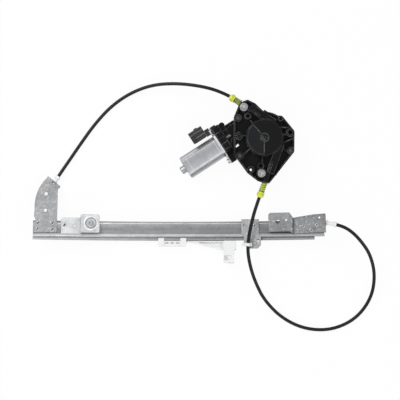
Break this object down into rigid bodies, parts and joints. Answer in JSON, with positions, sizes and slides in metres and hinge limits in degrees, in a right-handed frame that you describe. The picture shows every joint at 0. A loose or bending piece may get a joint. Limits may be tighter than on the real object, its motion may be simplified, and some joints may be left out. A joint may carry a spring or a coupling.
{
  "type": "window regulator",
  "caption": "Electric window regulator for a vehicle door: a bowed steel rail, a carrier pulled along it by twin cables in conduits, and a geared motor with a cable drum.",
  "frame": {"origin": "on the cable drum's axis, in the plane of the gear housing's flat underside", "axes": "+X along the rail towards its right end, +Y across the rail towards the motor, +Z along the drum's axis away from the table"},
  "size_m": [0.5495, 0.4009, 0.058],
  "materials": {
    "galvanised_steel": "galvanised rolled sheet",
    "zinc_plate": "zinc plated pressing",
    "bright_steel": "zinc plated, turned",
    "white_plastic": "moulded acetal",
    "black_plastic": "moulded, glass filled",
    "black_conduit": "extruded sheath",
    "can_steel": "drawn and plated",
    "lime_plastic": "moulded",
    "olive_plastic": "moulded",
    "grey_rubber": "moulded",
    "drum_plastic": "moulded acetal",
    "copper": "wound or pressed",
    "ferrite": "sintered",
    "wire_rope": "stranded wire",
    "card_plastic": "pressed card"
  },
  "bodies": {
    "frame": {"guide_rail": "galvanised_steel", "bracket_rivets": "bright_steel", "cable_guide": "white_plastic", "conduit_ferrules": "white_plastic", "left_end_bracket": "zinc_plate", "left_mount_bracket": "zinc_plate", "rail_stud": "bright_steel", "mid_bracket": "zinc_plate", "right_end_bracket": "zinc_plate", "rail_cable": "wire_rope", "cable_clip": "white_plastic", "magnets": "ferrite", "shaft_bushes": "copper", "motor_can": "can_steel", "can_screws": "bright_steel", "brush_card": "card_plastic", "brushes": "ferrite", "connector_socket": "black_plastic", "connector_pins": "copper", "gear_housing": "black_plastic", "axle_pin": "bright_steel", "gear_cover": "black_plastic", "drum_housing": "black_plastic", "housing_screws": "bright_steel", "fixing_studs": "bright_steel", "mount_bush": "bright_steel", "exit_wires": "wire_rope", "adjuster_sleeves": "olive_plastic", "adjuster_springs": "bright_steel", "adjuster_caps": "lime_plastic", "conduit_upper": "black_conduit", "conduit_lower": "black_conduit"},
    "carrier": {"carrier": "white_plastic", "glass_pad": "grey_rubber", "clamp_screw": "bright_steel", "cable_nipples": "bright_steel"},
    "drum": {"worm_wheel": "drum_plastic", "drive_hub": "drum_plastic", "damper": "grey_rubber", "cable_drum": "drum_plastic", "cable_winding": "wire_rope"},
    "armature": {"armature_shaft": "bright_steel", "armature_core": "ferrite", "windings": "copper", "commutator": "copper"}
  },
  "joints": [
    {"name": "carrier_travel", "type": "hinge", "parent": "frame", "child": "carrier", "pos_m": [-0.1365, 0.05843, 1.39568], "axis": [0, -0.989, 0.1478], "range_deg": [-6.55, 7.78]},
    {"name": "drum_spin", "type": "hinge", "parent": "frame", "child": "drum", "pos_m": [0, 0, 0.02], "axis": [0, 0, 1], "range_deg": [-368.6, 437.7]},
    {"name": "armature_spin", "type": "hinge", "parent": "frame", "child": "armature", "pos_m": [-0.01509, 0.02323, 0.0155], "axis": [0.8387, 0.5446, 0], "range_deg": [-16934.4, 20110.2]}
  ],
  "couplings": [
    {"joint": "drum_spin", "follows": "carrier_travel", "ratio": 56.22},
    {"joint": "armature_spin", "follows": "carrier_travel", "ratio": 2586.1}
  ]
}
